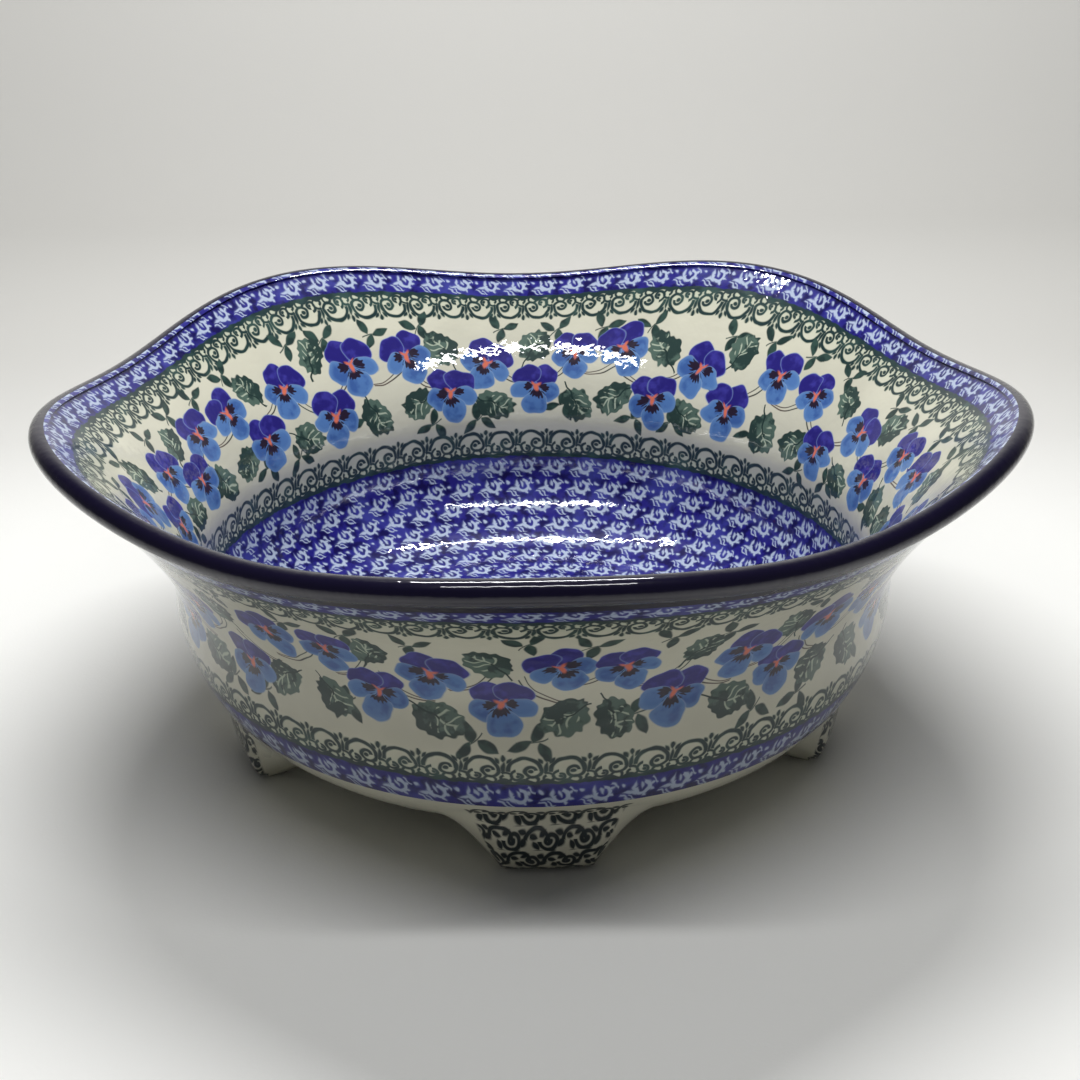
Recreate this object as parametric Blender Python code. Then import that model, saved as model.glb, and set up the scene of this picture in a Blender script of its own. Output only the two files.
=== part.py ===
"""Five-lobed footed serving bowl, one piece of glazed stoneware.

Run with: blender --background --python part.py
Units are metres, +Z is up, and the feet stand on z = 0.

The bowl is a turned section that changes as it goes round: towards the rim it swells and
lifts at five lobes, and under each lobe its lower edge reaches down to make a foot. The
section is worked out at every angle and the sections are lofted into one closed skin.
"""
import math

import bmesh
import bpy
from mathutils import Vector

# ---- driving dimensions -------------------------------------------------------------
LOBES = 5                     # lobes of the rim, with a foot under each
FIRST_LOBE = math.radians(-88.9)  # direction of the front lobe
FOOT_TURN = math.radians(0.8)     # the feet sit slightly turned against the lobes

RIM_RADIUS = 0.1418           # centre line of the rolled lip, midway between lobe and dip
RIM_HEIGHT = 0.1085           # height of that centre line
LOBE_REACH = 0.0040           # how far a lobe swells out, and a dip draws in
LOBE_LIFT = 0.0037            # how far a lobe rises, and a dip sinks
LIP_RADIUS = 0.0034           # the lip is rolled to a round bead
LIP_SWEEP = math.radians(210)     # how far round it the bead stands clear of the wall

NECK_HEIGHT = 0.0593          # where the round body turns into the flared wall
BELLY_RADIUS = 0.1123         # outside of the body at its widest
BELLY_HEIGHT = 0.0540
WALL = 0.0078                 # thickness of the body
RIM_WALL = 0.0050             # thickness of the flared wall just under the lip
FLARE_POWER = 1.5             # 1 is a cone, more turns the wall outwards near the rim

BASE_RADIUS = 0.0730          # flat underside
BASE_HEIGHT = 0.0090          # its height above the table
FLOOR_RADIUS = 0.0620         # flat floor inside
FLOOR_HEIGHT = 0.0170

FOOT_RADIUS = 0.0938          # outer edge of the flat pad under a foot
FOOT_PAD_DEPTH = 0.0062       # from the pad's outer edge to its inner edge
FOOT_PAD_HALF_WIDTH = 0.0127
FOOT_HALF_WIDTH = 0.0300      # where its flared sides have died away into the body
FOOT_TOP = 0.0215             # height where a foot leaves the body's own curve
FOOT_FLANK_POWER = 1.35       # 1 makes straight sides, more makes them hollow
FOOT_EDGE = 0.0010            # small bevel along the pad's inner edge
FOOT_BACK_SLOPE = 0.0030      # how far the foot's back leans in from pad to underside

# ---- smoothness of the loft -----------------------------------------------------------
ARC_STEPS = 8                 # rows along each curve of the section
LIP_STEPS = 7                 # rows round the rolled lip
FACE_STEPS = 4                # rows down the face of a foot
PAD_STEPS = 2                 # columns across half a pad
FLANK_STEPS = 5               # columns down the side of a foot
SPAN_STEPS = 4                # columns from there to midway between two feet


def ellipse_point(radius, height, reach, rise, share):
    """Point of a quarter ellipse that falls from its widest point (share 0) to its foot (share 1)."""
    angle = share * math.pi / 2
    return Vector((radius + reach * math.cos(angle), height - rise * math.sin(angle)))


def lobe_weight(share):
    """How much of the lobes the flared wall has at a share of its height."""
    return share ** FLARE_POWER


def flare_point(start, end, share):
    """Point of the flared wall, which turns outwards as it climbs."""
    radius = start.x + (end.x - start.x) * share ** FLARE_POWER
    return Vector((radius, start.y + (end.y - start.y) * share))


def lip_frame():
    """Centre of the lip, and the direction across the wall there, pointing out and down."""
    neck = Vector((BELLY_RADIUS, NECK_HEIGHT))
    centre = Vector((RIM_RADIUS, RIM_HEIGHT))
    slope = FLARE_POWER * (centre.x - neck.x) / (centre.y - neck.y)
    along = Vector((slope, 1.0)).normalized()
    return centre, Vector((along.y, -along.x))


def inner_rows():
    """Rows of the inside, from the middle of the floor to the lip, each with its lobe weight."""
    rows = [(Vector((FLOOR_RADIUS * step / 3, FLOOR_HEIGHT)), 0.0) for step in range(1, 3)]
    inside = BELLY_RADIUS - WALL
    reach = inside - FLOOR_RADIUS
    rise = BELLY_HEIGHT - FLOOR_HEIGHT
    for step in range(ARC_STEPS, -1, -1):
        rows.append((ellipse_point(FLOOR_RADIUS, BELLY_HEIGHT, reach, rise, step / ARC_STEPS), 0.0))
    centre, across = lip_frame()
    start = Vector((inside, NECK_HEIGHT))
    end = centre - across * RIM_WALL / 2
    for step in range(ARC_STEPS):
        share = step / ARC_STEPS
        rows.append((flare_point(start, end, share), lobe_weight(share)))
    return rows


def lip_rows():
    """Rows of the rolled lip, over its top from the inside to the outside."""
    centre, across = lip_frame()
    start = math.atan2(-across.y, -across.x)
    rows = []
    for step in range(LIP_STEPS + 1):
        angle = start - LIP_SWEEP * step / LIP_STEPS
        rows.append((centre + LIP_RADIUS * Vector((math.cos(angle), math.sin(angle))), 1.0))
    return rows


def body_point(share):
    """Point on the outside of the round body, from its widest (share 0) to a foot's top (share 1)."""
    rise = BELLY_HEIGHT - BASE_HEIGHT
    last = math.asin((BELLY_HEIGHT - FOOT_TOP) / rise) / (math.pi / 2)
    return ellipse_point(BASE_RADIUS, BELLY_HEIGHT, BELLY_RADIUS - BASE_RADIUS, rise, last * share)


def outer_rows():
    """Rows of the outside, from under the lip down to where a foot can begin."""
    centre, across = lip_frame()
    start = Vector((BELLY_RADIUS, NECK_HEIGHT))
    end = centre + across * RIM_WALL / 2
    rows = []
    for step in range(ARC_STEPS - 1, -1, -1):
        share = step / ARC_STEPS
        rows.append((flare_point(start, end, share), lobe_weight(share)))
    for step in range(ARC_STEPS + 1):
        rows.append((body_point(step / ARC_STEPS), 0.0))
    return rows


def foot_outline():
    """The foot's own outline, from the body's curve down its bowed face, over the pad and up inside."""
    top_radius = body_point(1.0).x
    reach = top_radius - FOOT_RADIUS
    face = [
        ellipse_point(FOOT_RADIUS, FOOT_TOP, reach, FOOT_TOP, step / FACE_STEPS)
        for step in range(1, FACE_STEPS)
    ]
    inner = FOOT_RADIUS - FOOT_PAD_DEPTH
    return face + [
        Vector((FOOT_RADIUS, 0.0)),
        Vector((inner, 0.0)),
        Vector((inner - FOOT_EDGE, FOOT_EDGE)),
        Vector((inner - FOOT_BACK_SLOPE, BASE_HEIGHT)),
    ]


def under_outline():
    """Where the points of foot_outline lie between two feet, on the body's own curve."""
    rise = BELLY_HEIGHT - BASE_HEIGHT
    count = len(foot_outline())
    full = math.pi / 2 / math.asin((BELLY_HEIGHT - FOOT_TOP) / rise)
    shares = [1.0 + (full - 1.0) * (step + 1) / (count + 1) for step in range(count)]
    return [body_point(share) for share in shares]


def foot_share(angle):
    """1 over a pad, 0 between the feet, and an easing curve down each flared side."""
    pitch = 2 * math.pi / LOBES
    turn = (angle - FIRST_LOBE - FOOT_TURN + pitch / 2) % pitch - pitch / 2
    distance = abs(turn) * FOOT_RADIUS
    fallen = (distance - FOOT_PAD_HALF_WIDTH) / (FOOT_HALF_WIDTH - FOOT_PAD_HALF_WIDTH)
    fallen = min(max(fallen, 0.0), 1.0)
    return (1.0 - fallen) ** FOOT_FLANK_POWER


def column_angles():
    """Angles of the loft's columns: close together over the feet, wider between them."""
    pad = FOOT_PAD_HALF_WIDTH / FOOT_RADIUS
    flank = FOOT_HALF_WIDTH / FOOT_RADIUS
    half = math.pi / LOBES
    turns = [pad * step / PAD_STEPS for step in range(PAD_STEPS)]
    turns += [pad + (flank - pad) * step / FLANK_STEPS for step in range(FLANK_STEPS)]
    turns += [flank + (half - flank) * step / SPAN_STEPS for step in range(SPAN_STEPS)]
    around = turns + [2 * half - turn for turn in [half] + turns[:0:-1]]
    first = FIRST_LOBE + FOOT_TURN
    return [first + 2 * half * lobe + turn for lobe in range(LOBES) for turn in around]


def section(angle):
    """One section of the bowl as 3D points, from beside the floor's middle to beside the base's."""
    wave = math.cos(LOBES * (angle - FIRST_LOBE))
    points = []
    for point, weight in inner_rows() + lip_rows() + outer_rows():
        radius = point.x + LOBE_REACH * weight * wave
        height = point.y + LOBE_LIFT * weight * wave
        points.append((radius, height))
    share = foot_share(angle)
    for plain, foot in zip(under_outline(), foot_outline()):
        point = plain.lerp(foot, share)
        points.append((point.x, point.y))
    points.append((BASE_RADIUS, BASE_HEIGHT))
    points.append((BASE_RADIUS / 2, BASE_HEIGHT))
    return [Vector((r * math.cos(angle), r * math.sin(angle), z)) for r, z in points]


def loft(mesh_name, sections, top, bottom):
    """Closed mesh through neighbouring sections, ended by one vertex on the axis at each end."""
    mesh = bpy.data.meshes.new(mesh_name)
    shape = bmesh.new()
    columns = [[shape.verts.new(point) for point in points] for points in sections]
    floor_middle = shape.verts.new(top)
    base_middle = shape.verts.new(bottom)
    for here, there in zip(columns, columns[1:] + columns[:1]):
        shape.faces.new((floor_middle, here[0], there[0]))
        for row in range(len(here) - 1):
            shape.faces.new((here[row], here[row + 1], there[row + 1], there[row]))
        shape.faces.new((base_middle, there[-1], here[-1]))
    bmesh.ops.triangulate(shape, faces=shape.faces[:])
    bmesh.ops.recalc_face_normals(shape, faces=shape.faces[:])
    shape.to_mesh(mesh)
    shape.free()
    mesh.shade_smooth()
    mesh.set_sharp_from_angle(angle=math.radians(50))
    return mesh


def centred(mesh):
    """Move the mesh so that its box stands centred on the origin, because the lobes are uneven."""
    across = [vertex.co.x for vertex in mesh.vertices]
    along = [vertex.co.y for vertex in mesh.vertices]
    middle = Vector(((min(across) + max(across)) / 2, (min(along) + max(along)) / 2, 0.0))
    for vertex in mesh.vertices:
        vertex.co -= middle
    return mesh


def glazed_stoneware():
    """Cream stoneware under a clear gloss glaze."""
    material = bpy.data.materials.new("glazed_stoneware")
    material.use_nodes = True
    shader = material.node_tree.nodes["Principled BSDF"]
    shader.inputs["Base Color"].default_value = (0.79, 0.77, 0.70, 1.0)
    shader.inputs["Roughness"].default_value = 0.12
    shader.inputs["Metallic"].default_value = 0.0
    return material


def footed_bowl():
    """The whole bowl: body, flared lobed wall, rolled lip and five feet in one piece."""
    sections = [section(angle) for angle in column_angles()]
    floor_middle = Vector((0.0, 0.0, FLOOR_HEIGHT))
    base_middle = Vector((0.0, 0.0, BASE_HEIGHT))
    mesh = centred(loft("footed_bowl", sections, floor_middle, base_middle))
    mesh.materials.append(glazed_stoneware())
    return bpy.data.objects.new("footed_bowl", mesh)


def main():
    for old in list(bpy.data.objects):
        bpy.data.objects.remove(old, do_unlink=True)
    parts = bpy.data.collections.new("lobed_footed_bowl")
    bpy.context.scene.collection.children.link(parts)
    parts.objects.link(footed_bowl())


main()
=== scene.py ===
"""Five-lobed footed serving bowl of glazed stoneware, painted with violas.

The bowl is one closed skin: a section turned by Geometry Nodes, which swell its rim at five
lobes and let a foot down under each. Its finish is hand painting under a clear gloss glaze:
stamped cobalt, bands of green scrolls and a garland of violas, all drawn by shader nodes.
Each painted motif reads its own place on the clay from a corner attribute of the mesh.

Units are metres, +Z is up, and the feet stand on z = 0.
"""
from __future__ import annotations

import logging
import math
import random
from dataclasses import dataclass, field, replace
from enum import Enum, IntEnum

import bpy
import numpy as np
from mathutils import Matrix, Vector


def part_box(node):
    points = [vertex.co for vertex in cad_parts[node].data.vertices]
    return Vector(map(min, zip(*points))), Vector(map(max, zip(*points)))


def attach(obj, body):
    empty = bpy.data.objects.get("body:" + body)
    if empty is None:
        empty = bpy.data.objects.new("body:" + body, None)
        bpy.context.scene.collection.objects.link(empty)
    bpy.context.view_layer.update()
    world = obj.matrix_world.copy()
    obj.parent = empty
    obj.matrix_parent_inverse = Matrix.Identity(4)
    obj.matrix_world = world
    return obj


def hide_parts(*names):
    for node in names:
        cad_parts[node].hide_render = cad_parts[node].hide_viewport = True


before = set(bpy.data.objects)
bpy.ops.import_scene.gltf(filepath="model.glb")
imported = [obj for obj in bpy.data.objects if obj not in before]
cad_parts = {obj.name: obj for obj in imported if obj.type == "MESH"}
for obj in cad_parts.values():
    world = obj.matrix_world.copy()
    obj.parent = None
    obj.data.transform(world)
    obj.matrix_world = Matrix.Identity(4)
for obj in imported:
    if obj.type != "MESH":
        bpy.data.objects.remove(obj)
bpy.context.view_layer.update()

log = logging.getLogger("footed_bowl")

MM = 0.001
NOWHERE = 9.0  # local place given to the clay that a motif does not touch


def paint(red: int, green: int, blue: int) -> tuple[float, float, float, float]:
    """Linear colour of a paint given by its display values from 0 to 255."""
    shares = [value / 255 for value in (red, green, blue)]
    linear = [s / 12.92 if s <= 0.04045 else ((s + 0.055) / 1.055) ** 2.4 for s in shares]
    return (*linear, 1.0)


# ---------------------------------------------------------------------------- shape


@dataclass(frozen=True)
class BowlShape:
    """Driving dimensions of the bowl, in metres and radians."""

    lobes: int = 5
    first_lobe: float = math.radians(-88.9)
    foot_turn: float = math.radians(0.8)
    rim_radius: float = 0.1418
    rim_height: float = 0.1085
    lobe_reach: float = 0.0040
    lobe_lift: float = 0.0037
    lip_radius: float = 0.0034
    lip_sweep: float = math.radians(210)
    neck_height: float = 0.0593
    belly_radius: float = 0.1123
    belly_height: float = 0.0540
    wall: float = 0.0078
    rim_wall: float = 0.0050
    flare_power: float = 1.5
    base_radius: float = 0.0730
    base_height: float = 0.0090
    floor_radius: float = 0.0620
    floor_height: float = 0.0170
    foot_radius: float = 0.0938
    foot_pad_depth: float = 0.0062
    foot_pad_half_width: float = 0.0127
    foot_half_width: float = 0.0300
    foot_top: float = 0.0215
    foot_flank_power: float = 1.35
    foot_back_slope: float = 0.0030

    @property
    def inside_radius(self) -> float:
        """Radius of the inside where the round body turns into the flare."""
        return self.belly_radius - self.wall

    def lip_frame(self) -> tuple[Vector, Vector]:
        """Centre of the lip, and the direction across the wall there, out and down."""
        neck = Vector((self.belly_radius, self.neck_height))
        centre = Vector((self.rim_radius, self.rim_height))
        slope = self.flare_power * (centre.x - neck.x) / (centre.y - neck.y)
        along = Vector((slope, 1.0)).normalized()
        return centre, Vector((along.y, -along.x))

    def flare(self, start: Vector, end: Vector, share: float) -> tuple[float, float, float]:
        """Radius, height and lobe weight of the flared wall at a share of its height."""
        weight = share ** self.flare_power
        radius = start.x + (end.x - start.x) * weight
        return radius, start.y + (end.y - start.y) * share, weight

    def body(self, share: float) -> Vector:
        """Outside of the round body, from its widest (0) to a foot's top (1)."""
        rise = self.belly_height - self.base_height
        last = math.asin((self.belly_height - self.foot_top) / rise)
        return Vector((
            self.base_radius + (self.belly_radius - self.base_radius) * math.cos(last * share),
            self.belly_height - rise * math.sin(last * share),
        ))


class Band(IntEnum):
    """What is painted on a ring of the clay."""

    CREAM = 0
    NAVY = 1
    STAMP = 2
    SCROLL = 3
    FOOT = 4


class Side(Enum):
    """Which face of the wall a ring of the clay belongs to."""

    INSIDE = "inside"
    OUTSIDE = "outside"


@dataclass(frozen=True)
class Ring:
    """One row of the section, on the plain body and on a foot."""

    plain: tuple[float, float]
    foot: tuple[float, float]
    weight: float
    side: Side
    arc: float


@dataclass(frozen=True)
class Strip:
    """The faces between two rows, and how their paint repeats.

    Attributes:
        band: What is painted there.
        low, high: The first and last place across the motif, in repeats.
        repeats: How many times the motif goes round the bowl.
        shift: Where round the bowl the first one starts, in repeats.
    """

    band: Band
    low: float = 0.0
    high: float = 1.0
    repeats: float = 1.0
    shift: float = 0.0


@dataclass
class Profile:
    """The rows and strips of the bowl's section, from the floor's middle to the base's."""

    shape: BowlShape
    rings: list[Ring] = field(default_factory=list)
    strips: list[Strip] = field(default_factory=list)
    floral: dict[Side, tuple[float, float]] = field(default_factory=dict)
    rim_strip: Strip = Strip(Band.STAMP)

    STAMP_PITCH = 11.0 * MM
    STAMP_ROW = 7.5 * MM
    STAMP_ROW_SHIFT = 0.37
    SCROLL_PITCH = 11.2 * MM
    STEP = 2.6 * MM               # length of a row where only violas are painted
    COBALT_ON_LIP = 2             # rows of the lip that the inner stamp runs on to
    INNER_HEIGHTS = (47.2 * MM, 58.3 * MM)
    INNER_SHARES = (0.726, 0.893, 1.0)
    OUTER_SHARES = (0.97, 0.90, 0.812, 0.645)
    OUTER_HEIGHTS = (48.1 * MM, 37.3 * MM, 27.2 * MM, 25.0 * MM)
    FOOT_TOP_SHARE = 0.17         # part of a foot's paint that lies above the foot's top

    def build(self) -> "Profile":
        """Fills in every ring and strip, in order.

        Returns:
            The profile itself.
        """
        self._inside()
        self._lip()
        self._outside()
        self._foot()
        self._base()
        return self

    def _add(self, point: tuple[float, float], weight: float, side: Side, arc: float,
             foot: tuple[float, float] | None = None) -> None:
        """Adds one ring."""
        self.rings.append(Ring(tuple(point), tuple(foot or point), weight, side, arc))

    def _run(self, path: np.ndarray, side: Side, start: float, end: float, steps: int,
             strip: Strip) -> None:
        """Adds rings along a path, all wearing one strip that is shared out between them.

        Args:
            path: Rows of arc, radius, height and lobe weight.
            side: Face of the wall.
            start: Arc where the run begins; its first ring is there already.
            end: Arc where it ends.
            steps: Number of rings to add.
            strip: Paint of the whole run.
        """
        for step in range(1, steps + 1):
            arc = start + (end - start) * step / steps
            radius, height, weight = (np.interp(arc, path[:, 0], path[:, k]) for k in (1, 2, 3))
            self._add((radius, height), weight, side, arc)
            low, high = (
                strip.low + (strip.high - strip.low) * row / steps for row in (step - 1, step)
            )
            self.strips.append(replace(strip, low=low, high=high))

    @staticmethod
    def _path(points: list[tuple[float, float, float]]) -> np.ndarray:
        """Path with the length run so far put before each radius, height and weight."""
        rows = np.array(points)
        run = np.hypot(*np.diff(rows[:, :2], axis=0).T)
        return np.column_stack([np.concatenate([[0.0], np.cumsum(run)]), rows])

    def _round(self, path: np.ndarray, arc: float, pitch: float) -> int:
        """How many motifs of a pitch go round the bowl at an arc."""
        return max(3, round(2 * math.pi * float(np.interp(arc, path[:, 0], path[:, 1])) / pitch))

    def _inside(self) -> None:
        """Floor, inner wall and flare, up to the lip."""
        s = self.shape
        centre, across = s.lip_frame()
        start = Vector((s.inside_radius, s.neck_height))
        end = centre - across * s.rim_wall / 2
        points = [(s.floor_radius * k / 20, s.floor_height, 0.0) for k in range(20)]
        for k in range(81):
            turn = math.pi / 2 * (1 - k / 80)
            points.append((
                s.floor_radius + (s.inside_radius - s.floor_radius) * math.cos(turn),
                s.belly_height - (s.belly_height - s.floor_height) * math.sin(turn),
                0.0,
            ))
        points += [s.flare(start, end, k / 80) for k in range(81)]
        path = self._path(points)
        rise = end.y - s.neck_height

        def at(height: float) -> float:
            """Arc where the wall reaches a height."""
            wall = path[25:]
            return float(np.interp(height, wall[:, 2], wall[:, 0]))

        edges = [at(height) for height in self.INNER_HEIGHTS]
        edges += [at(s.neck_height + rise * share) for share in self.INNER_SHARES]
        rows = round(edges[0] / self.STAMP_ROW)
        pitch = edges[0] / rows
        for row in range(rows):
            low, high = row * pitch, (row + 1) * pitch
            count = self._round(path, (low + high) / 2, self.STAMP_PITCH)
            strip = Strip(Band.STAMP, 0.0, 1.0, count, self.STAMP_ROW_SHIFT * row)
            self._run(path, Side.INSIDE, low, high, 3, strip)
        count = self._round(path, edges[0], self.SCROLL_PITCH)
        self._run(path, Side.INSIDE, edges[0], edges[1], 5, Strip(Band.SCROLL, 0, 1, count))
        steps = round((edges[2] - edges[1]) / self.STEP)
        self._run(path, Side.INSIDE, edges[1], edges[2], steps, Strip(Band.CREAM))
        self.floral[Side.INSIDE] = (edges[1], edges[2])
        count = self._round(path, edges[3], self.SCROLL_PITCH)
        self._run(path, Side.INSIDE, edges[2], edges[3], 5, Strip(Band.SCROLL, 1, 0, count))
        count = self._round(path, edges[4], self.STAMP_PITCH)
        self.rim_strip = Strip(Band.STAMP, 0, 1, count)
        self._run(path, Side.INSIDE, edges[3], edges[4], 4, self.rim_strip)

    def _lip(self, steps: int = 16) -> None:
        """The rolled lip, over its top from the inside to the outside."""
        s = self.shape
        centre, across = s.lip_frame()
        start = math.atan2(-across.y, -across.x)
        for step in range(steps + 1):
            turn = start - s.lip_sweep * step / steps
            point = centre + s.lip_radius * Vector((math.cos(turn), math.sin(turn)))
            arc = s.lip_radius * s.lip_sweep * step / steps
            self._add((point.x, point.y), 1.0, Side.OUTSIDE, arc)
            if step > self.COBALT_ON_LIP:
                self.strips.append(Strip(Band.NAVY))
            else:
                low, high = 1 + 0.1 * step, 1.1 + 0.1 * step
                self.strips.append(replace(self.rim_strip, low=low, high=high))

    def _outside(self) -> None:
        """Flare and body, from under the lip down to where a foot can begin."""
        s = self.shape
        centre, across = s.lip_frame()
        start = Vector((s.belly_radius, s.neck_height))
        end = centre + across * s.rim_wall / 2
        points = [s.flare(start, end, 1 - k / 80) for k in range(80)]
        points += [(*s.body(k / 80), 0.0) for k in range(81)]
        path = self._path(points)
        offset = s.lip_radius * s.lip_sweep
        path[:, 0] += offset
        rise = end.y - s.neck_height

        def at(height: float) -> float:
            """Arc where the wall falls to a height."""
            return float(np.interp(-height, -path[:, 2], path[:, 0]))

        edges = [at(s.neck_height + rise * share) for share in self.OUTER_SHARES]
        edges += [at(height) for height in self.OUTER_HEIGHTS] + [float(path[-1, 0])]
        self._run(path, Side.OUTSIDE, offset, edges[0], 1, Strip(Band.NAVY))
        self._run(path, Side.OUTSIDE, edges[0], edges[1], 3, Strip(Band.NAVY))
        count = self._round(path, edges[2], self.STAMP_PITCH)
        self._run(path, Side.OUTSIDE, edges[1], edges[2], 4, Strip(Band.STAMP, 1, 0, count))
        count = self._round(path, edges[2], self.SCROLL_PITCH)
        self._run(path, Side.OUTSIDE, edges[2], edges[3], 5, Strip(Band.SCROLL, 0, 1, count))
        steps = round((edges[4] - edges[3]) / self.STEP)
        self._run(path, Side.OUTSIDE, edges[3], edges[4], steps, Strip(Band.CREAM))
        self.floral[Side.OUTSIDE] = (edges[4], edges[3])
        count = self._round(path, edges[5], self.SCROLL_PITCH)
        self._run(path, Side.OUTSIDE, edges[4], edges[5], 5, Strip(Band.SCROLL, 1, 0, count))
        count = self._round(path, edges[6], self.STAMP_PITCH)
        self._run(path, Side.OUTSIDE, edges[5], edges[6], 5, Strip(Band.STAMP, 1, 0, count))
        self._run(path, Side.OUTSIDE, edges[6], edges[7], 1, Strip(Band.CREAM))
        strip = Strip(Band.FOOT, 0, self.FOOT_TOP_SHARE)
        self._run(path, Side.OUTSIDE, edges[7], edges[8], 2, strip)

    def _foot(self) -> None:
        """A foot's bowed face, rounded pad and back, and the body's own curve between feet."""
        s = self.shape
        top = s.body(1.0)
        reach = top.x - s.foot_radius
        turns = [math.pi / 2 * k / 9 for k in range(1, 9)]
        foot = [(s.foot_radius + reach * math.cos(turn), s.foot_top * (1 - math.sin(turn)))
                for turn in turns]
        inner = s.foot_radius - s.foot_pad_depth
        foot = [point for point in foot if point[1] > 0.9 * MM]
        foot += [(s.foot_radius, 0.9 * MM), (s.foot_radius - 0.25 * MM, 0.25 * MM)]
        face = len(foot)
        foot += [(s.foot_radius - 0.9 * MM, 0.0), (inner, 0.0), (inner - 0.5 * MM, 0.25 * MM)]
        foot += [(inner - 1.0 * MM, 1.0 * MM)]
        foot += [(inner - s.foot_back_slope * share, s.base_height * share) for share in (0.5, 0.9)]
        rise = s.belly_height - s.base_height
        full = math.pi / 2 / math.asin((s.belly_height - s.foot_top) / rise)
        arc = self.rings[-1].arc
        place = Vector(top)
        for index, point in enumerate(foot):
            plain = s.body(1 + (full - 1) * (index + 1) / (len(foot) + 1))
            arc += (Vector(point) - place).length
            place = Vector(point)
            self._add((plain.x, plain.y), 0.0, Side.OUTSIDE, arc, point)
            low, high = (
                self.FOOT_TOP_SHARE + (1 - self.FOOT_TOP_SHARE) * row / face
                for row in (index, index + 1)
            )
            self.strips.append(Strip(Band.FOOT if index < face else Band.CREAM, low, high))

    def _base(self) -> None:
        """The flat underside."""
        s = self.shape
        arc = self.rings[-1].arc
        for share in (1.0, 0.985, 0.75, 0.5, 0.25, 0.08):
            arc += 0.01
            self._add((s.base_radius * share, s.base_height), 0.0, Side.OUTSIDE, arc)
            self.strips.append(Strip(Band.CREAM))


# ---------------------------------------------------------------------------- node graphs


class Term:
    """A number in a node tree. Arithmetic on it adds Math nodes."""

    def __init__(self, graph: "Graph", socket: bpy.types.NodeSocket) -> None:
        """Wraps a socket of the graph."""
        self.graph = graph
        self.socket = socket

    def __add__(self, other: "Term | float") -> "Term":
        """Sum."""
        return self.graph.math("ADD", self, other)

    def __sub__(self, other: "Term | float") -> "Term":
        """Difference."""
        return self.graph.math("SUBTRACT", self, other)

    def __rsub__(self, other: float) -> "Term":
        """Difference from a plain number."""
        return self.graph.math("SUBTRACT", other, self)

    def __mul__(self, other: "Term | float") -> "Term":
        """Product."""
        return self.graph.math("MULTIPLY", self, other)

    def __truediv__(self, other: "Term | float") -> "Term":
        """Quotient."""
        return self.graph.math("DIVIDE", self, other)

    def __rtruediv__(self, other: float) -> "Term":
        """Quotient of a plain number."""
        return self.graph.math("DIVIDE", other, self)

    def __abs__(self) -> "Term":
        """Size without sign."""
        return self.graph.math("ABSOLUTE", self)

    __radd__ = __add__
    __rmul__ = __mul__

    def least(self, other: "Term | float") -> "Term":
        """The smaller of two numbers, which joins two shapes given by distance."""
        return self.graph.math("MINIMUM", self, other)

    def most(self, other: "Term | float") -> "Term":
        """The larger of two numbers, which keeps what two shapes share."""
        return self.graph.math("MAXIMUM", self, other)

    def fold(self) -> "Term":
        """Part after the whole number, from 0 to 1."""
        return self.graph.math("FRACT", self)

    def sine(self) -> "Term":
        """Sine."""
        return self.graph.math("SINE", self)

    def cosine(self) -> "Term":
        """Cosine."""
        return self.graph.math("COSINE", self)

    def whole(self) -> "Term":
        """Nearest whole number."""
        return self.graph.math("ROUND", self)

    def drawn(self, soft: float = 0.02) -> "Term":
        """1 inside a shape given by distance, 0 outside, with a soft edge."""
        return self.graph.ramp(self, -soft, soft, 1.0, 0.0)

    def rises(self, low: float, high: float) -> "Term":
        """0 below low, 1 above high, and a smooth step between."""
        return self.graph.ramp(self, low, high, 0.0, 1.0)


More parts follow.
